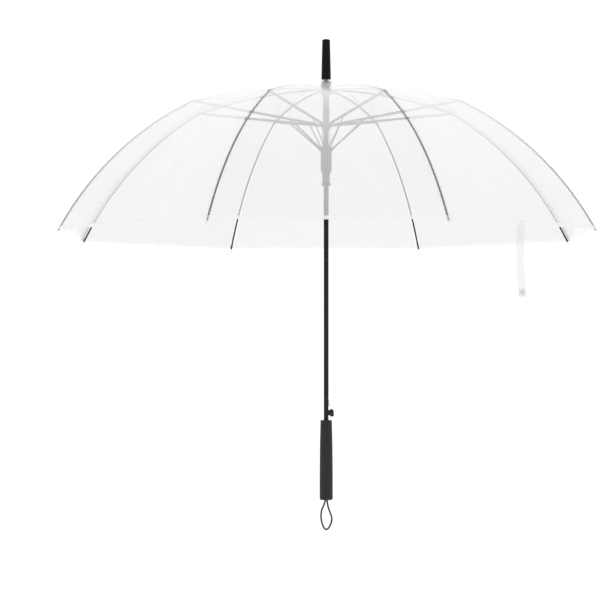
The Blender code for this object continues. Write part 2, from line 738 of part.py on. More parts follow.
def main():
    clear_scene()
    build_shaft()
    build_handle()
    build_ferrule()
    build_notch()
    build_washer()
    build_catch()
    build_wrist_loop()
    gore_pivots = build_ribs()
    hub = pivot_empty("hub_axis", 0, 0, HUB_PIVOT)
    runner = pivot_empty("runner_axis", 0, 0, RUNNER_PIVOT, hub)
    bpy.context.view_layer.update()
    build_stretcher_hub(hub)
    build_opening_spring(hub)
    build_runner(runner)
    for index in range(RIB_COUNT):
        angle = FIRST_RIB_ANGLE + index * RIB_SPACING
        pivot = pivot_empty(f"strut_pivot_{index + 1}", angle, RUNNER_PIVOT_RADIUS, RUNNER_PIVOT, runner)
        bpy.context.view_layer.update()
        build_strut(index + 1, pivot)
    angle, pivot = gore_pivots[RIB_COUNT]
    build_strap(angle - RIB_SPACING / 2, pivot)


main()
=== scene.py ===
"""Looks of the clear dome umbrella: film canopy, enamelled frame, moulded fittings, grip and cord.

Row frame: metres, +Z along the shaft, the origin half way up the handle.
Heights in this file are measured from the handle's bottom end.
"""

import math

import bmesh
import bpy
from mathutils import Matrix, Vector


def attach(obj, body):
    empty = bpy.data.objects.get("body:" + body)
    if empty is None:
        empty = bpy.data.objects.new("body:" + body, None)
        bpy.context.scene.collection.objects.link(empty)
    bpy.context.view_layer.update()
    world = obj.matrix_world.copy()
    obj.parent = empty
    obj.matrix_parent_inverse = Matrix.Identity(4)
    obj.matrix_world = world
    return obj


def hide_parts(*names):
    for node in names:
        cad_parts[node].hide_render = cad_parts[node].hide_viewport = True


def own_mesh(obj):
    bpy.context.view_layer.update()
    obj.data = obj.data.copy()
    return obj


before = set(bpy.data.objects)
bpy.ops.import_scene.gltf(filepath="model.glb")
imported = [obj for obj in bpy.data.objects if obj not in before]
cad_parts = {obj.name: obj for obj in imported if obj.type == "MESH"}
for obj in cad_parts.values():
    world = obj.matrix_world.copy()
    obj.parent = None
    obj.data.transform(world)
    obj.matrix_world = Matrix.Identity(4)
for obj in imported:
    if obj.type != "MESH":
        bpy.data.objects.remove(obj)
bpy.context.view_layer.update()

# ---- dimensions ----
GRIP_HEIGHT = 0.069
RIBS = range(1, 9)
SPACING = math.tau / 8
HALF = SPACING / 2

SHAFT_RADIUS, SHAFT_BORE = 0.00425, 0.0034
SHAFT_FOOT, SHAFT_HEAD = 0.020, 0.734
FIT = SHAFT_RADIUS + 0.00015

PIVOT_RADIUS, NOTCH_PIVOT, HUB_PIVOT = 0.008, 0.712, 0.650
ELBOW_RADIUS = 0.244
ELBOW_HEIGHT = (NOTCH_PIVOT + HUB_PIVOT) / 2
ARM_CAMBER = 0.0088
ROD_END_RADIUS, ROD_END_HEIGHT = 0.4783, 0.4570
ROD_HALF_TURN = 0.30
ROD_RADIUS = 0.00150
RUNNER_PIVOT_RADIUS, RUNNER_PIVOT = 0.011, 0.6086
STRUT_REACH, STRUT_OFFSET = 0.062, 0.0027

ELBOW_SHARE = 0.45
FILM_LIFT = 0.0022           # film above the middle of the ribs
CROWN_RADIUS, CROWN_HEIGHT = 0.0052, 0.7252
HEM_SCALLOP = 0.0015         # how far the hem rises between the ribs
HEM_WELD = 0.0075
FILM_BOW = 0.008             # share of the radius that the middle of a panel bows in

CORD_RADIUS = 0.0015
UPWARDS = Vector((0, 0, 1))
GAP = 0.0003                 # between pieces that touch
SHARP_ANGLE = 35             # degrees, above which an edge is drawn sharp
SLOT_WIDTH, SLOT_REACH = 0.0024, 0.02
TIE_WIRE, WIRE_ENDS = 0.00035, 0.05   # the wire's radius, and half its open angle
HUB_FOOT = 0.6450
LINK_BEVEL = 0.00012
PANEL_COLUMNS = 14
LIFT_TURN = 0.12             # share of the rod over which the film's lift turns square to it
STRAP_UV = 0.02              # keeps the strap clear of the rib strip and the weld


def up(height):
    return height - GRIP_HEIGHT


def rib_angle(number):
    return HALF + (number - 1) * SPACING


def spot(angle, radius, side, height):
    """A point from its distance along a direction, to the left of it, and its height."""
    x = radius * math.cos(angle) - side * math.sin(angle)
    y = radius * math.sin(angle) + side * math.cos(angle)
    return Vector((x, y, up(height)))


# ---- materials ----
def principled(name, color, roughness, **values):
    made = bpy.data.materials.new(name)
    made.use_nodes = True
    shader = made.node_tree.nodes["Principled BSDF"]
    shader.inputs["Base Color"].default_value = (*color, 1)
    shader.inputs["Roughness"].default_value = roughness
    for key, value in values.items():
        shader.inputs[key.replace("_", " ")].default_value = value
    return made, shader


def node(tree, kind, inputs=None, **settings):
    made = tree.nodes.new(kind)
    for key, value in settings.items():
        setattr(made, key, value)
    for key, value in (inputs or {}).items():
        if isinstance(value, bpy.types.NodeSocket):
            tree.links.new(value, made.inputs[key])
        else:
            made.inputs[key].default_value = value
    return made


def math_node(tree, operation, first, second=None):
    inputs = {0: first}
    if second is not None:
        inputs[1] = second
    return node(tree, "ShaderNodeMath", inputs, operation=operation).outputs[0]


def bumpy(made, shader, scale, strength, distance, detail, stretch):
    """Fine surface grain in the normal, in the object's own coordinates."""
    tree = made.node_tree
    place = node(tree, "ShaderNodeTexCoord").outputs["Object"]
    mapped = node(tree, "ShaderNodeMapping", {"Vector": place, "Scale": stretch}).outputs[0]
    grain = node(tree, "ShaderNodeTexNoise", {"Vector": mapped, "Scale": scale, "Detail": detail})
    bump = node(tree, "ShaderNodeBump", {
        "Height": grain.outputs["Fac"], "Strength": strength, "Distance": distance})
    tree.links.new(bump.outputs["Normal"], shader.inputs["Normal"])
    return grain


def grained(name, color, roughness, low, high, scale, strength, distance,
            detail=4.0, stretch=(1, 1, 1), **values):
    """Material with a fine grain, over which its roughness spreads from low to high."""
    made, shader = principled(name, color, roughness, **values)
    grain = bumpy(made, shader, scale, strength, distance, detail, stretch)
    tree = made.node_tree
    spread = node(tree, "ShaderNodeMapRange", {
        "Value": grain.outputs["Fac"], "From Min": 0.35, "From Max": 0.65,
        "To Min": low, "To Max": high})
    tree.links.new(spread.outputs[0], shader.inputs["Roughness"])
    return made


def make_clear_plastic():
    """Clear moulding, faintly milky, with a glossy skin that whitens at its edges."""
    made = bpy.data.materials.new("clear_moulded_plastic")
    made.use_nodes = True
    tree = made.node_tree
    tree.nodes.remove(tree.nodes["Principled BSDF"])
    place = node(tree, "ShaderNodeTexCoord").outputs["Object"]
    grain = node(tree, "ShaderNodeTexNoise", {"Vector": place, "Scale": 900.0, "Detail": 3.0})
    bump = node(tree, "ShaderNodeBump", {
        "Height": grain.outputs["Fac"], "Strength": 0.1, "Distance": 0.0002})
    facing = node(tree, "ShaderNodeLayerWeight", {"Blend": 0.5}).outputs["Facing"]
    milk = node(tree, "ShaderNodeMapRange", {"Value": facing, "To Min": 0.16, "To Max": 0.40})
    through = node(tree, "ShaderNodeBsdfTransparent", {"Color": (0.985, 0.988, 0.990, 1)})
    front = node(tree, "ShaderNodeBsdfDiffuse", {"Color": (0.82, 0.83, 0.84, 1)})
    back = node(tree, "ShaderNodeBsdfTranslucent", {"Color": (0.82, 0.83, 0.84, 1)})
    white = node(tree, "ShaderNodeMixShader", {0: 0.5, 1: front.outputs[0], 2: back.outputs[0]})
    body = node(tree, "ShaderNodeMixShader", {
        0: milk.outputs[0], 1: through.outputs[0], 2: white.outputs[0]})
    gloss = node(tree, "ShaderNodeBsdfGlossy", {
        "Color": (1, 1, 1, 1), "Roughness": 0.12, "Normal": bump.outputs["Normal"]})
    shine = math_node(tree, "POWER", facing, 5.0)
    shine = node(tree, "ShaderNodeMapRange", {"Value": shine, "To Min": 0.04, "To Max": 0.7})
    skin = node(tree, "ShaderNodeMixShader", {
        0: shine.outputs[0], 1: body.outputs[0], 2: gloss.outputs[0]})
    tree.links.new(skin.outputs[0], tree.nodes["Material Output"].inputs["Surface"])
    return made


def make_film(name, straight_through, strip_through, weld_through, outside, hollow_painted_shade):
    """Clear PVC with a milky veil that thickens with the slant at which it is seen.

    straight_through is the share of light that passes square on. Beside the rib, where
    the film lies on the metal, strip_through passes, and in the welded hem
    weld_through. outside and hollow_painted_shade are the whiteness of the two faces, the
    inner one set lower as painted shade. The UVs are the distances from the rib and from the hem in
    metres.
    """
    made = bpy.data.materials.new(name)
    made.use_nodes = True
    tree = made.node_tree
    tree.nodes.remove(tree.nodes["Principled BSDF"])
    coords = node(tree, "ShaderNodeUVMap").outputs[0]
    parts = node(tree, "ShaderNodeSeparateXYZ", {0: coords})
    strip = node(tree, "ShaderNodeMapRange", {
        "Value": parts.outputs[0], "From Min": 0.0038, "From Max": 0.0060,
        "To Min": strip_through, "To Max": straight_through}, interpolation_type="SMOOTHSTEP")

    def at_hem(welded, beyond):
        """One value in the welded hem and another beyond it."""
        return node(tree, "ShaderNodeMapRange", {
            "Value": parts.outputs[1], "From Min": HEM_WELD - 0.0004,
            "From Max": HEM_WELD + 0.0004, "To Min": welded, "To Max": beyond}).outputs[0]

    weld = at_hem(weld_through, 1.0)
    place = node(tree, "ShaderNodeTexCoord").outputs["Object"]
    cloud = node(tree, "ShaderNodeTexNoise", {"Vector": place, "Scale": 7.0, "Detail": 3.0})
    drift = node(tree, "ShaderNodeMapRange", {
        "Value": cloud.outputs["Fac"], "From Min": 0.3, "From Max": 0.7,
        "To Min": 0.985, "To Max": 1.015})
    passes = math_node(tree, "MULTIPLY", strip.outputs[0], drift.outputs[0])
    passes = math_node(tree, "MULTIPLY", passes, weld)
    ripple = node(tree, "ShaderNodeTexNoise", {"Vector": place, "Scale": 38.0, "Detail": 2.0})
    bump = node(tree, "ShaderNodeBump", {
        "Height": ripple.outputs["Fac"], "Strength": 0.25, "Distance": 0.002})
    facing = node(tree, "ShaderNodeLayerWeight", {"Blend": 0.5}).outputs["Facing"]
    upright = math_node(tree, "SUBTRACT", 1.0, facing)
    upright = math_node(tree, "MAXIMUM", upright, 0.32)
    path = math_node(tree, "DIVIDE", 1.0, upright)
    clear = math_node(tree, "POWER", passes, path)
    veil = math_node(tree, "SUBTRACT", 1.0, clear)
    # painted shade and painted reflection: the inner face is painted a little greyer as shade, and
    # glancing film is painted lighter, up to 0.97, standing in for the reflection of the bright
    # surroundings; the welded hem is lighter, as the doubled film is
    inside = node(tree, "ShaderNodeNewGeometry").outputs["Backfacing"]
    # painted shade: the back-facing (inner) side of the film gets a greyer white than the outer side
    shade = node(tree, "ShaderNodeMapRange", {"Value": inside, "To Min": outside, "To Max": hollow_painted_shade})
    painted_glancing_sheen = math_node(tree, "MULTIPLY", facing, 0.7)
    sheen_and_weld = math_node(tree, "MAXIMUM", painted_glancing_sheen, at_hem(0.8, 0.0))
    shade = node(tree, "ShaderNodeMapRange", {
        "Value": sheen_and_weld, "To Min": shade.outputs[0], "To Max": 0.97})
    white = node(tree, "ShaderNodeCombineColor", {
        0: shade.outputs[0], 1: shade.outputs[0], 2: shade.outputs[0]}).outputs[0]
    through = node(tree, "ShaderNodeBsdfTransparent", {"Color": (0.995, 0.996, 0.997, 1)})
    front = node(tree, "ShaderNodeBsdfDiffuse", {"Color": white})
    back = node(tree, "ShaderNodeBsdfTranslucent", {"Color": white})
    milk = node(tree, "ShaderNodeMixShader", {0: 0.5, 1: front.outputs[0], 2: back.outputs[0]})
    body = node(tree, "ShaderNodeMixShader", {0: veil, 1: through.outputs[0], 2: milk.outputs[0]})
    gloss = node(tree, "ShaderNodeBsdfGlossy", {
        "Color": (1, 1, 1, 1), "Roughness": 0.14, "Normal": bump.outputs["Normal"]})
    # both faces of the thin sheet reflect, alike from either side
    shine = math_node(tree, "POWER", facing, 5.0)
    shine = node(tree, "ShaderNodeMapRange", {"Value": shine, "To Min": 0.055, "To Max": 0.75})
    skin = node(tree, "ShaderNodeMixShader", {
        0: shine.outputs[0], 1: body.outputs[0], 2: gloss.outputs[0]})
    tree.links.new(skin.outputs[0], tree.nodes["Material Output"].inputs["Surface"])
    return made


def make_cord():
    """Braided cord: two crossing sets of strands in the bump."""
    made, shader = principled("braided_cord", (0.010, 0.010, 0.010), 0.82)
    shader.inputs["Sheen Weight"].default_value = 0.15
    tree = made.node_tree
    coords = node(tree, "ShaderNodeTexCoord").outputs["Generated"]
    parts = node(tree, "ShaderNodeSeparateXYZ", {0: coords})
    waves = []
    for sign in (1, -1):
        slant = math_node(tree, "MULTIPLY", parts.outputs[0], 60.0 * sign)
        along = math_node(tree, "MULTIPLY", parts.outputs[2], 330.0)
        waves.append(math_node(tree, "SINE", math_node(tree, "ADD", slant, along)))
    braid = math_node(tree, "MULTIPLY", waves[0], waves[1])
    bump = node(tree, "ShaderNodeBump", {"Height": braid, "Strength": 0.5, "Distance": 0.0003})
    tree.links.new(bump.outputs["Normal"], shader.inputs["Normal"])
    return made


ENAMEL = grained("black_enamel", (0.007, 0.007, 0.0075), 0.30, 0.24, 0.36, 900, 0.12, 0.0002,
                 Specular_IOR_Level=0.18, Coat_Weight=0.08, Coat_Roughness=0.12)
GLOSS = grained("black_gloss_plastic", (0.003, 0.003, 0.0032), 0.16, 0.13, 0.20,
                260, 0.05, 0.0004, Specular_IOR_Level=0.11)
MOULDED = grained("black_moulded_plastic", (0.008, 0.008, 0.0085), 0.38, 0.32, 0.44,
                  1400, 0.10, 0.0002, Specular_IOR_Level=0.35)
GRIP = grained("grip_soft_touch", (0.019, 0.019, 0.0193), 0.62, 0.56, 0.70,
               2600, 0.35, 0.0003, detail=6.0, Specular_IOR_Level=0.22, Sheen_Weight=0.06)
STEEL = grained("spring_steel", (0.56, 0.56, 0.57), 0.26, 0.20, 0.36, 700, 0.10, 0.0002,
                stretch=(1, 1, 0.08), Metallic=1.0)
WIRE = grained("oiled_spring_wire", (0.055, 0.055, 0.058), 0.34, 0.28, 0.42, 1200, 0.12, 0.0002,
               Metallic=0.8)
CLEAR = make_clear_plastic()
FILM = make_film("clear_film", 0.60, 0.82, 0.75, 0.82, 0.58)
STRAP = make_film("strap_film", 0.40, 0.40, 1.0, 0.76, 0.76)
CORD = make_cord()


# ---- mesh helpers ----
def linked(name, data):
    """A new object in the scene."""
    made = bpy.data.objects.new(name, data)
    bpy.context.collection.objects.link(made)
    return made


def join(piece, body, node_name=None):
    """Put a piece on its body, and hide the CAD node that it stands for."""
    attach(piece, body)
    if node_name:
        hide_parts(node_name)


def publish(name, form, finish, angle=SHARP_ANGLE, bevel=0.0):
    bmesh.ops.recalc_face_normals(form, faces=form.faces)
    mesh = bpy.data.meshes.new(name)
    form.to_mesh(mesh)
    form.free()
    mesh.materials.append(finish)
    mesh.shade_smooth()
    mesh.set_sharp_from_angle(angle=math.radians(angle))
    made = linked(name, mesh)
    if bevel:
        edge = made.modifiers.new("edge", "BEVEL")
        edge.width = bevel
        edge.segments = 2
        edge.limit_method = "ANGLE"
        edge.angle_limit = math.radians(40)
    return made


def settle(obj):
    """Apply an object's modifiers and drop them."""
    bpy.context.view_layer.update()
    graph = bpy.context.evaluated_depsgraph_get()
    mesh = bpy.data.meshes.new_from_object(obj.evaluated_get(graph))
    obj.modifiers.clear()
    obj.data = mesh
    return obj


def cut(target, form):
    """Cut a bmesh out of an object."""
    bmesh.ops.recalc_face_normals(form, faces=form.faces)
    mesh = bpy.data.meshes.new("cutter")
    form.to_mesh(mesh)
    form.free()
    cutter = linked("cutter", mesh)
    step = target.modifiers.new("cut", "BOOLEAN")
    step.operation = "DIFFERENCE"
    step.solver = "EXACT"
    step.object = cutter
    settle(target)
    bpy.data.objects.remove(cutter, do_unlink=True)
    target.data.shade_smooth()
    target.data.set_sharp_from_angle(angle=math.radians(SHARP_ANGLE))
    return target


def rounded(outline, radius, steps=4):
    """Round every corner of a closed (radius, height) outline that is off the axis."""
    points = []
    count = len(outline)
    for index, corner in enumerate(outline):
        here = Vector(corner)
        before = Vector(outline[index - 1]) - here
        after = Vector(outline[(index + 1) % count]) - here
        size = min(radius, before.length * 0.45, after.length * 0.45)
        straight = before.length < 1e-9 or after.length < 1e-9
        if here.x == 0 or straight or size < 2e-5:
            points.append(tuple(here))
            continue
        start = here + before.normalized() * size
        stop = here + after.normalized() * size
        for step in range(steps + 1):
            t = step / steps
            bend = start * (1 - t) ** 2 + here * (2 * t * (1 - t)) + stop * t ** 2
            points.append(tuple(bend))
    return points


def turned(outline, sides=64):
    """Turn a closed (radius, height) outline round the shaft's axis."""
    form = bmesh.new()
    rings = []
    for radius, height in outline:
        if radius < 1e-7:
            rings.append([form.verts.new((0, 0, height))] * sides)
            continue
        ring = []
        for side in range(sides):
            turn = math.tau * side / sides
            ring.append(form.verts.new((radius * math.cos(turn), radius * math.sin(turn), height)))
        rings.append(ring)
    for lower, upper in zip(rings, rings[1:] + rings[:1]):
        for side in range(sides):
            after = (side + 1) % sides
            corners = [lower[side], lower[after], upper[after], upper[side]]
            kept = list(dict.fromkeys(corners))
            if len(kept) > 2:
                form.faces.new(kept)
    return form


def loft(rings, form=None):
    """Skin a row of equal closed rings and cap both ends."""
    form = form or bmesh.new()
    made = [[form.verts.new(point) for point in ring] for ring in rings]
    count = len(made[0])
    for lower, upper in zip(made, made[1:]):
        for side in range(count):
            after = (side + 1) % count
            form.faces.new([lower[side], lower[after], upper[after], upper[side]])
    form.faces.new(made[0])
    form.faces.new(made[-1])
    return form


def ring(centre, across, above, radius, sides):
    points = []
    for side in range(sides):
        roll = math.tau * side / sides
        points.append(centre + across * (radius * math.cos(roll)) + above * (radius * math.sin(roll)))
    return points


def block(low, high, form=None):
    """An upright box between two corners."""
    form = form or bmesh.new()
    low, high = Vector(low), Vector(high)
    place = Matrix.Translation((low + high) / 2) @ Matrix.Diagonal((*(high - low), 1))
    bmesh.ops.create_cube(form, size=1, matrix=place)
    return form


def radial_slots(root, low, high, offset=0.0):
    form = bmesh.new()
    for number in RIBS:
        slot = bmesh.new()
        near = (root, offset - SLOT_WIDTH / 2, low)
        block(near, (root + SLOT_REACH, offset + SLOT_WIDTH / 2, high), slot)
        bmesh.ops.transform(slot, matrix=Matrix.Rotation(rib_angle(number), 4, "Z"), verts=slot.verts)
        scratch = bpy.data.meshes.new("slot")
        slot.to_mesh(scratch)
        slot.free()
        form.from_mesh(scratch)
        bpy.data.meshes.remove(scratch)
    return form


class Plane:
    """The upright plane of one rib: along it, above it, and across it."""

    def __init__(self, number, origin, slope):
        angle = rib_angle(number)
        outwards = Vector((math.cos(angle), math.sin(angle), 0))
        self.origin = spot(angle, origin[0], 0, origin[1])
        self.way = outwards * math.cos(slope) + Vector((0, 0, math.sin(slope)))
        self.above = Vector((0, 0, math.cos(slope))) - outwards * math.sin(slope)
        self.across = Vector((-math.sin(angle), math.cos(angle), 0))

    def at(self, reach, side, lift):
        return self.origin + self.way * reach + self.across * side + self.above * lift

    def capsule(self, form, start, stop, height, side, thickness, steps=7):
        """A flat link with round ends; start and stop are its outermost points."""
        outline = []
        half = height / 2
        for centre, turn in ((stop - half, -math.pi / 2), (start + half, math.pi / 2)):
            for step in range(steps + 1):
                roll = turn + math.pi * step / steps
                outline.append((centre + half * math.cos(roll), half * math.sin(roll)))
        rings = []
        for face in (side - thickness / 2, side + thickness / 2):
            rings.append([self.at(reach, face, lift) for reach, lift in outline])
        return loft(rings, form)

    def pin(self, form, reach, lift, low, high, radius, head, head_height):
        """A rivet across the plane with a domed head at each end."""
        stations = [
            (low - head_height, head * 0.45), (low - head_height * 0.7, head * 0.8),
            (low - head_height * 0.25, head), (low, head), (low, radius), (high, radius),
            (high, head), (high + head_height * 0.25, head),
            (high + head_height * 0.7, head * 0.8), (high + head_height, head * 0.45),
        ]
        rings = []
        for side, size in stations:
            rings.append(ring(self.at(reach, side, lift), self.way, self.above, size, 14))
        return loft(rings, form)


def channel(width, depth, wall, bend, open_up=False):
    """Outline of a folded U in (side, lift), with its outer corners rounded."""
    w, d = width / 2, depth / 2
    points = [
        (-w, -d), (-w, d - bend), (-w + bend * 0.3, d - bend * 0.3), (-w + bend, d),
        (w - bend, d), (w - bend * 0.3, d - bend * 0.3), (w, d - bend), (w, -d),
        (w - wall, -d), (w - wall, d - wall), (-w + wall, d - wall), (-w + wall, -d),
    ]
    if open_up:
        points = [(side, -lift) for side, lift in points]
    return points


# ---- curves of the frame ----
def arm_point(share):
    radius = PIVOT_RADIUS + (ELBOW_RADIUS - PIVOT_RADIUS) * share
    height = NOTCH_PIVOT + (ELBOW_HEIGHT - NOTCH_PIVOT) * share
    return radius, height + ARM_CAMBER * 4 * share * (1 - share)


ROD_RUN, ROD_FALL = ROD_END_RADIUS - ELBOW_RADIUS, ELBOW_HEIGHT - ROD_END_HEIGHT
ROD_BEND = math.hypot(ROD_RUN, ROD_FALL) / (2 * math.sin(ROD_HALF_TURN))
ROD_START = math.atan2(ROD_FALL, ROD_RUN) - ROD_HALF_TURN
ROD_LENGTH = 2 * ROD_HALF_TURN * ROD_BEND
FILM_LENGTH = ROD_LENGTH / (1 - ELBOW_SHARE)
ROD_CHORD = Vector((ROD_RUN, -ROD_FALL)).normalized()


def rod_point(share):
    heading = ROD_START + 2 * ROD_HALF_TURN * share
    radius = ELBOW_RADIUS + ROD_BEND * (math.sin(heading) - math.sin(ROD_START))
    return radius, ELBOW_HEIGHT + ROD_BEND * (math.cos(heading) - math.cos(ROD_START))


def heading_of(curve, share):
    """Unit (radius, height) direction of a curve."""
    step = 0.001
    before, after = curve(share - step), curve(share + step)
    way = Vector((after[0] - before[0], after[1] - before[1]))
    return way.normalized()


def film_point(share):
    """The film over a rib in (radius, height): share 0 is the crown, 1 the rod's end."""
    if share <= ELBOW_SHARE:
        part = share / ELBOW_SHARE
        radius = CROWN_RADIUS + (ELBOW_RADIUS - CROWN_RADIUS) * part
        _, height = arm_point(part)
        lift = FILM_LIFT + (CROWN_HEIGHT - NOTCH_PIVOT - FILM_LIFT) * (1 - part) ** 2.6
        return radius, height + lift
    part = (share - ELBOW_SHARE) / (1 - ELBOW_SHARE)
    radius, height = rod_point(part)
    way = heading_of(rod_point, part)
    # the lift turns from upright to square with the rod over the first part of it
    settled = min(1.0, part / LIFT_TURN)
    normal = Vector((-way.y * settled, 1 + (way.x - 1) * settled)).normalized()
    return radius + normal.x * FILM_LIFT, height + normal.y * FILM_LIFT


# ---- shaft, grip, ferrule ----
def build_shaft():
    outline = rounded([
        (SHAFT_RADIUS, up(SHAFT_FOOT)), (SHAFT_RADIUS, up(SHAFT_HEAD)),
        (SHAFT_BORE, up(SHAFT_HEAD)), (SHAFT_BORE, up(SHAFT_FOOT)),
    ], 0.0003, 2)
    shaft = publish("shaft_tube", turned(outline, 64), ENAMEL)
    window = block((0.001, -0.0017, up(0.1425)), (0.008, 0.0017, up(0.1785)))
    cut(shaft, window)
    join(shaft, "root", "shaft")


def build_grip():
    foot, head, hole, depth = 0.0114, 0.0100, 0.0032, 0.0030
    outline = [
        (hole, up(0)), (foot - 0.0022, up(0)), (foot - 0.0006, up(0.0007)), (foot, up(0.0030)),
        (foot, up(0.040)),
        (foot - 0.0004, up(0.090)), (head, up(0.1365)), (head, up(0.138)),
        (FIT + 0.0006, up(0.138)), (FIT + 0.0006, up(0.1365)), (FIT, up(0.1365)),
        (FIT, up(0.0200)), (0, up(0.0200)), (0, up(depth)), (hole, up(depth)),
    ]
    grip = publish("grip_body", turned(rounded(outline, 0.0017, 6), 96), GRIP)
    join(grip, "root", "handle_grip")


def build_ferrule():
    foot, head, flat = 0.0085, 0.00695, 0.0045
    low, high = 0.7300, 0.8000
    outline = [
        (FIT, up(low)), (foot, up(low)), (foot, up(low + 0.0016)),
        (head, up(high - 0.0014)), (flat + 0.0008, up(high)), (0, up(high)),
        (0, up(SHAFT_HEAD + GAP)), (FIT, up(SHAFT_HEAD + GAP)),
    ]
    ferrule = publish("ferrule_tip", turned(rounded(outline, 0.0012, 6), 96), GLOSS)
    join(ferrule, "root", "ferrule")


# ---- fittings on the shaft ----
def wire_hoop(name, radius, height, body):
    """Tie wire through the eyes of the ribs or stretchers, with a small gap between its ends."""
    rings = []
    steps = 96
    for step in range(steps + 1):
        turn = WIRE_ENDS + (math.tau - 2 * WIRE_ENDS) * step / steps
        outwards = Vector((math.cos(turn), math.sin(turn), 0))
        centre = outwards * radius + Vector((0, 0, up(height)))
        rings.append(ring(centre, outwards, UPWARDS, TIE_WIRE, 8))
    hoop = publish(name, loft(rings), STEEL)
    join(hoop, body)


def build_notch():
    low, high, rim = 0.7045, 0.7192, 0.0098
    outline = [
        (FIT, up(low)), (rim, up(low)), (rim, up(high)), (FIT, up(high)),
    ]
    notch = publish("notch_ring", turned(rounded(outline, 0.0013, 5), 96), MOULDED)
    cut(notch, radial_slots(0.0057, up(low) - 0.002, up(high) + 0.002))
    join(notch, "root", "top_notch")
    wire_hoop("notch_wire", PIVOT_RADIUS, NOTCH_PIVOT, "root")


def build_washer():
    low, high, rim = 0.7256, 0.7296, 0.0094
    outline = [
        (FIT, up(low)), (rim - 0.0012, up(low)), (rim, up(low + 0.0014)),
        (rim, up(low + 0.0026)), (rim - 0.0020, up(high)), (FIT, up(high)),
    ]
    washer = publish("crown_washer", turned(rounded(outline, 0.0006, 4), 96), CLEAR)
    join(washer, "root", "canopy_washer")


def build_hub():
    low, high, rim, neck, top = HUB_FOOT, 0.6545, 0.0090, 0.0057, 0.7032
    outline = [
        (FIT, up(low)), (rim, up(low)), (rim, up(high)), (neck + 0.0004, up(high)),
        (neck, up(high + 0.0010)), (neck, up(top)), (FIT, up(top)),
    ]
    hub = publish("hub_body", turned(rounded(outline, 0.0008, 4), 96), MOULDED)
    cut(hub, radial_slots(0.0058, up(low) - 0.002, up(high) + 0.0002))
    join(hub, "stretcher_hub", "stretcher_hub")
    wire_hoop("hub_wire", PIVOT_RADIUS, HUB_PIVOT, "stretcher_hub")


def build_runner():
    foot, rim, body, neck = 0.5450, 0.0127, 0.0095, 0.0065
    pivot = RUNNER_PIVOT
    outline = [
        (FIT, up(foot)), (0.0078, up(foot)), (0.0078, up(foot + 0.0040)),
        (neck, up(foot + 0.0054)), (neck, up(foot + 0.0205)), (body + 0.0004, up(foot + 0.0262)),
        (body + 0.0004, up(foot + 0.0276)), (body, up(foot + 0.0284)),
        (body, up(foot + 0.0300)), (body - 0.0004, up(foot + 0.0304)),
        (body - 0.0004, up(foot + 0.0312)), (body, up(foot + 0.0316)),
        (body, up(pivot - 0.0060)), (body - 0.0004, up(pivot - 0.0056)),
        (body - 0.0004, up(pivot - 0.0050)), (body, up(pivot - 0.0046)),
        (body, up(pivot - 0.0036)), (rim, up(pivot - 0.0030)), (rim, up(pivot + 0.0022)),
        (body, up(pivot + 0.0022)), (body, up(pivot + 0.0044)), (0.0082, up(pivot + 0.0044)),
        (0.0082, up(pivot + 0.0004)), (FIT, up(pivot + 0.0004)),
    ]
    runner = publish("runner_body", turned(rounded(outline, 0.0006, 3), 96), MOULDED)
    slots = radial_slots(0.0088, up(pivot - 0.0062), up(pivot + 0.0064), STRUT_OFFSET)
    cut(runner, slots)
    cut(runner, block((0.0019, -0.0018, up(foot) - 0.002), (0.0065, 0.0018, up(foot + 0.0213))))
    join(runner, "runner", "runner")
    wire_hoop("runner_wire", RUNNER_PIVOT_RADIUS, pivot, "runner")


def build_spring():
    """Coil between the runner's cup and the stretcher hub, with a closed turn at each end."""
    wire, coil, turns, steps = 0.00058, 0.0074, 9.5, 36
    high, low = HUB_FOOT - GAP - wire, RUNNER_PIVOT + 0.0007 + wire
    rings = []
    count = int(turns * steps)
    for step in range(count + 1):
        turn = math.tau * step / steps
        part = step / count
        # the end turns lie flat
        climb = min(max((part - 0.10) / 0.80, 0), 1)
        flat = wire * 2.05 * (min(part / 0.10, 1) + max((part - 0.90) / 0.10, 0))
        height = low + flat + (high - low - wire * 4.1) * climb
        outwards = Vector((math.cos(turn), math.sin(turn), 0))
        centre = outwards * coil + Vector((0, 0, up(height)))
        rings.append(ring(centre, outwards, UPWARDS, wire, 10))
    spring = publish("spring_coil", loft(rings), WIRE)
    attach(spring, "stretcher_hub")
    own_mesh(spring)
    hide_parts("opening_spring")


def prism(outline, thickness, name, finish, bevel):
    """Extrude an (x, height) outline across Y, with rounded edges."""
    rings = []
    for y in (-thickness / 2, thickness / 2):
        rings.append([Vector((x, y, up(height))) for x, height in outline])
    return publish(name, loft(rings), finish, angle=50, bevel=bevel)


def smooth_outline(points, radius, steps=5):
    """Round every corner; moved off the axis meanwhile, where rounded() keeps corners sharp."""
    moved = rounded([(x + 1, height) for x, height in points], radius, steps)
    return [(x - 1, height) for x, height in moved]


def build_catch():
    back, front = -0.0007, 0.0003
    low, shelf, nose, ramp_top, top = 0.1450, 0.1620, 0.1632, 0.1750, 0.1758
    outline = smooth_outline([
        (back, low), (front, low), (front, shelf), (0.0061, shelf), (0.0062, nose),
        (0.0050, ramp_top), (front, top), (back, top),
    ], 0.0006)
    tooth = prism(outline, 0.0022, "catch_tooth", STEEL, 0.00022)
    join(tooth, "catch", "catch_spring")
    outer, face, edge = 0.0067, 0.0134, 0.0011
    foot, head = 0.1442, 0.1572
    outline = smooth_outline([
        (outer, foot), (face, foot), (face - 0.0004, head - 2 * edge),
        (face - 2.4 * edge, head), (outer, head),
    ], 0.0022, 6)
    button = prism(outline, 0.0052, "button_key", MOULDED, 0.0007)
    stem = block((front + 0.0003, -0.0013, up(0.1462)), (outer + 0.001, 0.0013, up(0.1556)))
    stem = publish("button_stem", stem, MOULDED, bevel=0.0002)
    for piece in (button, stem):
        join(piece, "catch")
    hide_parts("release_button")


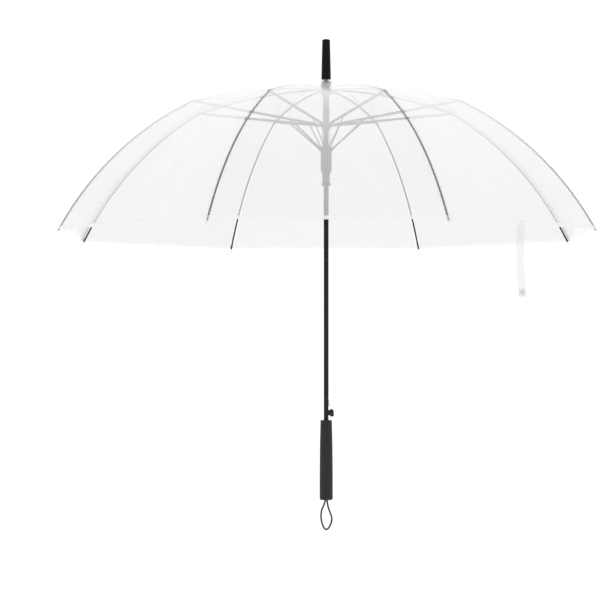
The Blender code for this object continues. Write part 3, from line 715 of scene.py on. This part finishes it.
# ---- ribs ----
def swept(number, curve, shares, outline, form):
    """Sweep a (side, lift) outline along a rib curve."""
    angle = rib_angle(number)
    rings = []
    for share in shares:
        radius, height = curve(share)
        way = heading_of(curve, share)
        ring_points = []
        for side, lift in outline:
            ring_points.append(spot(angle, radius - way.y * lift, side, height + way.x * lift))
        rings.append(ring_points)
    return loft(rings, form)


def build_arm(number):
    length = ELBOW_RADIUS - PIVOT_RADIUS
    start, stop = 0.0098 / length, 1 - 0.0050 / length
    shares = [start + (stop - start) * step / 24 for step in range(25)]
    form = swept(number, arm_point, shares, channel(0.0029, 0.0024, 0.0005, 0.0006), None)
    for share, inner, outer in ((0, -0.0015, 0.0125), (1, -0.0075, 0.0015)):
        way = heading_of(arm_point, share)
        eye = Plane(number, arm_point(share), math.atan2(way.y, way.x))
        eye.capsule(form, inner, outer, 0.0026, 0, 0.0015)
    arm = publish(f"arm_{number}", form, ENAMEL, bevel=LINK_BEVEL)
    join(arm, f"rib_{number}", f"rib_arm_{number}")
    pivot = Plane(number, (ELBOW_RADIUS, ELBOW_HEIGHT), 0)
    form = pivot.pin(bmesh.new(), 0, 0, -0.0031, 0.0031, 0.0005, 0.0011, 0.0006)
    pin = publish(f"elbow_rivet_{number}", form, STEEL)
    join(pin, f"rib_{number}")


def build_rod(number):
    shares = [0.028 + 0.972 * step / 40 for step in range(41)]
    sides = 12
    outline = []
    for side in range(sides):
        roll = math.tau * side / sides
        outline.append((ROD_RADIUS * math.cos(roll), ROD_RADIUS * math.sin(roll)))
    form = swept(number, rod_point, shares, outline, None)
    way = heading_of(rod_point, 0)
    fork = Plane(number, (ELBOW_RADIUS, ELBOW_HEIGHT), math.atan2(way.y, way.x))
    for side in (-0.0015, 0.0015):
        fork.capsule(form, -0.0014, 0.0085, 0.0028, side, 0.0007)
    # crimped sleeve between the fork and the rod
    profile = [
        (0.0048, 0.0012), (0.0052, 0.00155), (0.0078, 0.00160), (0.0084, 0.00146), (0.0094, 0.00146),
        (0.0100, 0.00160), (0.0124, 0.00160), (0.0130, 0.00146), (0.0140, 0.00146),
        (0.0146, 0.00160), (0.0168, 0.00158), (0.0176, 0.00140),
    ]
    rings = []
    for reach, size in profile:
        share = reach / ROD_LENGTH
        radius, height = rod_point(share)
        turn = heading_of(rod_point, share)
        local = Plane(number, (radius, height), math.atan2(turn.y, turn.x))
        rings.append(ring(local.origin, local.across, local.above, size, 20))
    loft(rings, form)
    rod = publish(f"rod_{number}", form, ENAMEL, angle=40)
    join(rod, f"rib_end_{number}", f"rib_rod_{number}")


def build_cap(number):
    way = heading_of(rod_point, 1)
    flare = 0.14
    cap = Plane(number, rod_point(1), math.atan2(way.y, way.x) + flare)
    profile = [
        (-0.0004, 0.00165), (0.0004, 0.00195), (0.0016, 0.0021), (0.0030, 0.0021),
        (0.0034, 0.0018), (0.0042, 0.0018), (0.0046, 0.00205), (0.0080, 0.0019),
        (0.0104, 0.0017), (0.0116, 0.0016), (0.0124, 0.0013), (0.0129, 0.0007), (0.0130, 0.0002),
    ]
    rings = [ring(cap.at(reach, 0, 0), cap.across, cap.above, size, 24) for reach, size in profile]
    form = loft(rings)
    # small lug on the film's side that its corner is tied to
    cap.capsule(form, 0.0020, 0.0064, 0.0016, 0.0, 0.0012)
    made = publish(f"cap_{number}", form, CLEAR)
    join(made, f"rib_end_{number}", f"tip_cap_{number}")


def build_stretcher(number):
    run, fall = ELBOW_RADIUS - PIVOT_RADIUS, ELBOW_HEIGHT - HUB_PIVOT
    length = math.hypot(run, fall)
    slope = math.atan2(fall, run)
    bar = Plane(number, (PIVOT_RADIUS, HUB_PIVOT), slope)
    outline = channel(0.0032, 0.0040, 0.0005, 0.0008, open_up=True)
    low = channel(0.0032, 0.0030, 0.0005, 0.0007, open_up=True)
    rings = [[bar.at(0.0095, side, lift) for side, lift in low]]
    for reach in (0.0140, 0.05, 0.10, 0.15, 0.20, length - 0.0235):
        rings.append([bar.at(reach, side, lift) for side, lift in outline])
    form = loft(rings)
    bar.capsule(form, -0.0016, 0.0130, 0.0028, 0, 0.0015)
    # the two cheeks spread round the elbow
    for sign in (-1, 1):
        stations = [
            (length - 0.0275, 0.0012, 0.0030), (length - 0.0235, 0.0013, 0.0030),
            (length - 0.0180, 0.0025, 0.0026), (length - 0.0020, 0.0026, 0.0026),
        ]
        rings = []
        for reach, side, height in stations:
            rings.append([
                bar.at(reach, sign * (side - 0.0004), -height / 2),
                bar.at(reach, sign * (side + 0.0004), -height / 2),
                bar.at(reach, sign * (side + 0.0004), height / 2),
                bar.at(reach, sign * (side - 0.0004), height / 2),
            ])
        loft(rings, form)
        bar.capsule(form, length - 0.0060, length + 0.0014, 0.0026, sign * 0.0026, 0.0008)
    made = publish(f"stretcher_bar_{number}", form, ENAMEL, bevel=LINK_BEVEL)
    join(made, f"stretcher_{number}", f"stretcher_{number}")
    form = bar.pin(bmesh.new(), STRUT_REACH, 0, 0.0014, STRUT_OFFSET + 0.0008, 0.0006, 0.0010, 0.0005)
    pin = publish(f"strut_rivet_{number}", form, STEEL)
    join(pin, f"stretcher_{number}")


def build_strut(number):
    slope = math.atan2(ELBOW_HEIGHT - HUB_PIVOT, ELBOW_RADIUS - PIVOT_RADIUS)
    joint = (PIVOT_RADIUS + STRUT_REACH * math.cos(slope), HUB_PIVOT + STRUT_REACH * math.sin(slope))
    run, rise = joint[0] - RUNNER_PIVOT_RADIUS, joint[1] - RUNNER_PIVOT
    reach = math.hypot(run, rise)
    bar = Plane(number, (RUNNER_PIVOT_RADIUS, RUNNER_PIVOT), math.atan2(rise, run))
    form = bar.capsule(bmesh.new(), -0.0013, reach + 0.0013, 0.0026, STRUT_OFFSET, 0.0009)
    # pressed bead that stiffens the flat bar
    bead = (
        (0.0050, 0.0001), (0.0065, 0.0005), (reach - 0.0065, 0.0005), (reach - 0.0050, 0.0001),
    )
    for sign in (-1, 1):
        rings = []
        for along, size in bead:
            centre = bar.at(along, STRUT_OFFSET + sign * 0.00040, 0)
            rings.append(ring(centre, bar.across, bar.above, size, 10))
        loft(rings, form)
    strut = publish(f"strut_bar_{number}", form, ENAMEL, bevel=0.00010)
    join(strut, f"strut_{number}", f"strut_{number}")


# ---- film canopy ----
def slack(share, panel, inside):
    """Loose waves of the film in metres along its normal."""
    wide = 0.0006 * math.sin(inside * 57 + panel * 2.1) * math.sin(share * 19 + panel * 1.3)
    return wide + 0.0003 * math.sin(inside * 131 + share * 41 + panel * 0.7)


def film_spot(number, side, share, part):
    """A point of one half panel: part 0 lies on the rib and 1 in the middle of the panel."""
    middle = math.sin(part * math.pi / 2) ** 2
    low = max(0.0, share - ELBOW_SHARE) / (1 - ELBOW_SHARE)
    share = share * (1 - HEM_SCALLOP * middle * low / FILM_LENGTH)
    radius, height = film_point(share)
    angle = rib_angle(number)
    away = part * radius * math.sin(HALF)
    point = spot(angle, radius - away * math.sin(HALF), side * away * math.cos(HALF), height)
    # the taut film bows in a little between the ribs, along the panel's own normal
    centre = angle + side * HALF
    facing = Vector((math.cos(centre), math.sin(centre), 0))
    way = heading_of(film_point, share)
    way = Vector((way.x * math.cos(HALF), way.y)).normalized()
    normal = facing * -way.y + Vector((0, 0, way.x))
    panel = number if side > 0 else (number - 2) % 8 + 1
    inside = side * (1 - part) * radius * math.sin(HALF)
    bow = -FILM_BOW * radius * middle
    bow += slack(share, panel, inside) * middle * min(1, radius / 0.08)
    # and it is gathered into pleats round the shaft
    pleat = 0.0010 * max(0.0, 1 - radius / 0.028) ** 2 * min(1.0, (radius - 0.0046) / 0.002)
    bow += pleat * math.cos(24 * (angle + side * part * HALF))
    return point + normal * bow, away


def pleated(obj, way):
    """Gives the half panel a mesh of its own."""
    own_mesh(obj)


def film_mesh(name, number, side, shares, columns, folded):
    form = bmesh.new()
    layer = form.loops.layers.uv.new("UVMap")
    rows = []
    for share in shares:
        row = []
        for column in range(columns + 1):
            part = column / columns
            point, away = film_spot(number, side, share, part)
            row.append((form.verts.new(point), away, share))
        rows.append(row)
    strips = [rows]
    if folded:
        # the hem is turned in and welded
        strips.append([])
        for back in (0.0001, HEM_WELD / 2, HEM_WELD):
            share = 1 - back / FILM_LENGTH
            way = heading_of(film_point, share)
            inwards = spot(rib_angle(number), way.y, 0, 0) - spot(rib_angle(number), 0, 0, way.x)
            row = []
            for column in range(columns + 1):
                point, away = film_spot(number, side, share, column / columns)
                row.append((form.verts.new(point + inwards * 0.0003), away, share))
            strips[-1].append(row)
    for strip in strips:
        for lower, upper in zip(strip, strip[1:]):
            for column in range(columns):
                corners = [lower[column], lower[column + 1], upper[column + 1], upper[column]]
                if side > 0:
                    corners.reverse()
                face = form.faces.new([corner[0] for corner in corners])
                for loop, corner in zip(face.loops, corners):
                    loop[layer].uv = (corner[1], (1 - corner[2]) * FILM_LENGTH)
                face.smooth = True
    area = sum(face.calc_area() for face in form.faces)
    mesh = bpy.data.meshes.new(name)
    form.to_mesh(mesh)
    form.free()
    mesh.materials.append(FILM)
    return linked(name, mesh), area


def build_film(number):
    inner_shares = [ELBOW_SHARE * (step / 28) ** 1.35 for step in range(29)]
    outer_shares = [ELBOW_SHARE + (1 - ELBOW_SHARE) * step / 34 for step in range(35)]
    for side, word in ((1, "left"), (-1, "right")):
        name = f"film_inner_{word}_{number}"
        inner, area = film_mesh(name, number, side, inner_shares, PANEL_COLUMNS, False)
        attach(inner, f"rib_{number}")
        pleated(inner, heading_of(arm_point, 0.5))
        name = f"film_outer_{word}_{number}"
        outer, area = film_mesh(name, number, side, outer_shares, PANEL_COLUMNS, True)
        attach(outer, f"rib_end_{number}")
        pleated(outer, ROD_CHORD)
    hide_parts(f"canopy_gore_{number}")


def build_strap():
    """Tie strap with a snap, hanging from the hem in the middle of the panel before rib 8."""
    width, length = 0.0127, 0.122
    angle = rib_angle(8) - HALF
    radius, height = film_point(0.985)
    radius = radius * math.cos(HALF) - 0.0060
    top = height - 0.001
    turn = math.radians(40)

    def frame_at(share):
        """Middle, cross direction and outward direction of the strap."""
        crease = 0.0014 * math.exp(-((share - 0.50) / 0.03) ** 2)
        bow = 0.003 * math.sin(share * math.pi) + crease
        twist = angle - turn * min(1.0, share / 0.12) + 0.06 * math.sin(share * 9)
        centre = spot(angle, radius - bow, 0.004 * share, top - length * share)
        across = Vector((-math.sin(twist), math.cos(twist), 0))
        return centre, across, Vector((math.cos(twist), math.sin(twist), 0))

    form = bmesh.new()
    layer = form.loops.layers.uv.new("UVMap")
    rows = []
    steps, columns = 72, 6
    for step in range(steps + 1):
        share = step / steps
        notch = 1 - 0.16 * math.exp(-((share - 0.50) / 0.016) ** 2)
        end = max(0.0, (share - 0.965) / 0.035)
        half = width / 2 * notch * math.sqrt(max(0.10, 1 - end ** 2))
        centre, across, _ = frame_at(share)
        row = []
        for column in range(columns + 1):
            row.append(form.verts.new(centre + across * (2 * column / columns - 1) * half))
        rows.append(row)
    for lower, upper in zip(rows, rows[1:]):
        for column in range(columns):
            face = form.faces.new([lower[column], lower[column + 1], upper[column + 1], upper[column]])
            face.smooth = True
            for loop in face.loops:
                loop[layer].uv = (STRAP_UV, STRAP_UV)
    mesh = bpy.data.meshes.new("strap_band")
    form.to_mesh(mesh)
    form.free()
    mesh.materials.append(STRAP)
    strap = linked("strap_band", mesh)
    # doubled end with the snap
    centre, across, outer = frame_at(0.935)
    corners = []
    for x, z in ((-0.0058, -0.0062), (0.0058, -0.0062), (0.0058, 0.0062), (-0.0058, 0.0062)):
        corners.append(centre + across * x + Vector((0, 0, z)) - outer * 0.0004)
    patch_form = loft([corners, [corner - outer * 0.0003 for corner in corners]])
    patch = settle(publish("strap_patch", patch_form, CLEAR, bevel=0.0001))
    snaps = []
    cap = ((0.0002, 0.0040), (0.0008, 0.0040), (0.0013, 0.0031), (0.0015, 0.0016))
    stud = ((-0.0009, 0.0040), (-0.0014, 0.0038), (-0.0015, 0.0020), (-0.0024, 0.0020), (-0.0027, 0.0013))
    for name, sizes in (("strap_snap_cap", cap), ("strap_snap_stud", stud)):
        rings = []
        for reach, size in sizes:
            rings.append(ring(centre + outer * reach, across, UPWARDS, size, 28))
        snaps.append(publish(name, loft(rings), CLEAR))
    for piece in [strap, patch] + snaps:
        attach(piece, "root")
        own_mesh(piece)
    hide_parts("tie_strap")


# ---- wrist loop ----
def loop_points():
    route = [
        (-0.0016, 0.0022), (-0.0017, -0.0015), (-0.0040, -0.0085), (-0.0079, -0.0180),
        (-0.0090, -0.0280), (-0.0074, -0.0395), (-0.0038, -0.0480), (0.0000, -0.0510),
        (0.0044, -0.0480), (0.0082, -0.0405), (0.0097, -0.0320), (0.0080, -0.0250),
        (0.0042, -0.0150), (0.0023, -0.0070), (0.0017, -0.0015), (0.0016, 0.0022),
    ]
    points = [Vector((x, 0.0012 * math.sin(height * 60), up(height))) for x, height in route]
    row = [points[0] * 2 - points[1]] + points + [points[-1] * 2 - points[-2]]
    smooth = []
    steps = 8
    for before, start, end, after in zip(row, row[1:], row[2:], row[3:]):
        leave, arrive = (end - before) / 2, (after - start) / 2
        for step in range(steps):
            t = step / steps
            place = start.lerp(end, 3 * t ** 2 - 2 * t ** 3)
            place += leave * (t - 2 * t ** 2 + t ** 3) + arrive * (t ** 3 - t ** 2)
            smooth.append(place)
    return smooth + [points[-1]]


def build_loop():
    curve = bpy.data.curves.new("loop_cord", "CURVE")
    curve.dimensions = "3D"
    curve.bevel_depth = CORD_RADIUS
    curve.bevel_resolution = 4
    curve.use_fill_caps = True
    points = loop_points()
    line = curve.splines.new("POLY")
    line.points.add(len(points) - 1)
    for target, point in zip(line.points, points):
        target.co = (*point, 1)
    curve.materials.append(CORD)
    loop = linked("loop_cord", curve)
    join(loop, "root", "wrist_loop")


# ---- studio ----
def build_stage():
    made, shader = principled("backdrop", (0.95, 0.95, 0.95), 0.9)
    shader.inputs["Specular IOR Level"].default_value = 0.1
    shader.inputs["Emission Color"].default_value = (1, 1, 1, 1)
    shader.inputs["Emission Strength"].default_value = 0.12
    floor, wall, curve, wide = up(-0.35), 4.0, 1.6, 9.0
    profile = [(-9.0, floor), (wall - curve, floor)]
    steps = 24
    for step in range(1, steps + 1):
        turn = math.pi / 2 * step / steps
        profile.append((wall - curve + curve * math.sin(turn), floor + curve * (1 - math.cos(turn))))
    profile.append((wall, 7.0))
    form = bmesh.new()
    rows = [[form.verts.new((x, y, z)) for x in (-wide, wide)] for y, z in profile]
    for lower, upper in zip(rows, rows[1:]):
        form.faces.new([lower[0], lower[1], upper[1], upper[0]])
    backdrop = publish("backdrop", form, made)

    world = bpy.data.worlds.new("studio")
    bpy.context.scene.world = world
    world.use_nodes = True
    background = world.node_tree.nodes["Background"]
    background.inputs["Color"].default_value = (1, 1, 1, 1)
    background.inputs["Strength"].default_value = 1.0

    def softbox(name, place, target, size, power):
        lamp = bpy.data.lights.new(name, "AREA")
        lamp.shape = "RECTANGLE"
        lamp.size, lamp.size_y = size
        lamp.energy = power
        made = linked(name, lamp)
        made.location = place
        made.rotation_euler = (Vector(target) - Vector(place)).to_track_quat("-Z", "Y").to_euler()

    softbox("key", (-2.6, -2.2, 2.4), (0, 0, 0.4), (0.8, 2.4), 3)
    softbox("fill", (2.8, -1.8, 1.6), (0, 0, 0.3), (0.6, 2.2), 2)
    softbox("top", (0.3, 0.6, 3.2), (0, 0, 0.4), (2.6, 2.0), 4)


def build_camera():
    distance, azimuth, turned_by, pitch = 3.5, 0.00593, 0.01050, 0.02266
    lens, height = 119.05, 0.25825
    data = bpy.data.cameras.new("camera")
    data.lens = lens
    data.sensor_width = 36
    data.clip_end = 60
    camera = linked("camera", data)
    camera.location = (-distance * math.sin(azimuth), -distance * math.cos(azimuth), up(height))
    camera.rotation_euler = (math.pi / 2 + pitch, 0, turned_by - azimuth)
    bpy.context.scene.camera = camera


def build_all():
    build_shaft()
    build_grip()
    build_ferrule()
    build_notch()
    build_washer()
    build_hub()
    build_runner()
    build_spring()
    build_catch()
    for number in RIBS:
        build_arm(number)
        build_rod(number)
        build_cap(number)
        build_stretcher(number)
        build_strut(number)
        build_film(number)
    build_strap()
    build_loop()
    build_stage()
    build_camera()
    settings = bpy.context.scene.view_settings
    settings.view_transform = "Standard"
    settings.look = "None"
    settings.exposure = 0
    settings.gamma = 1


build_all()
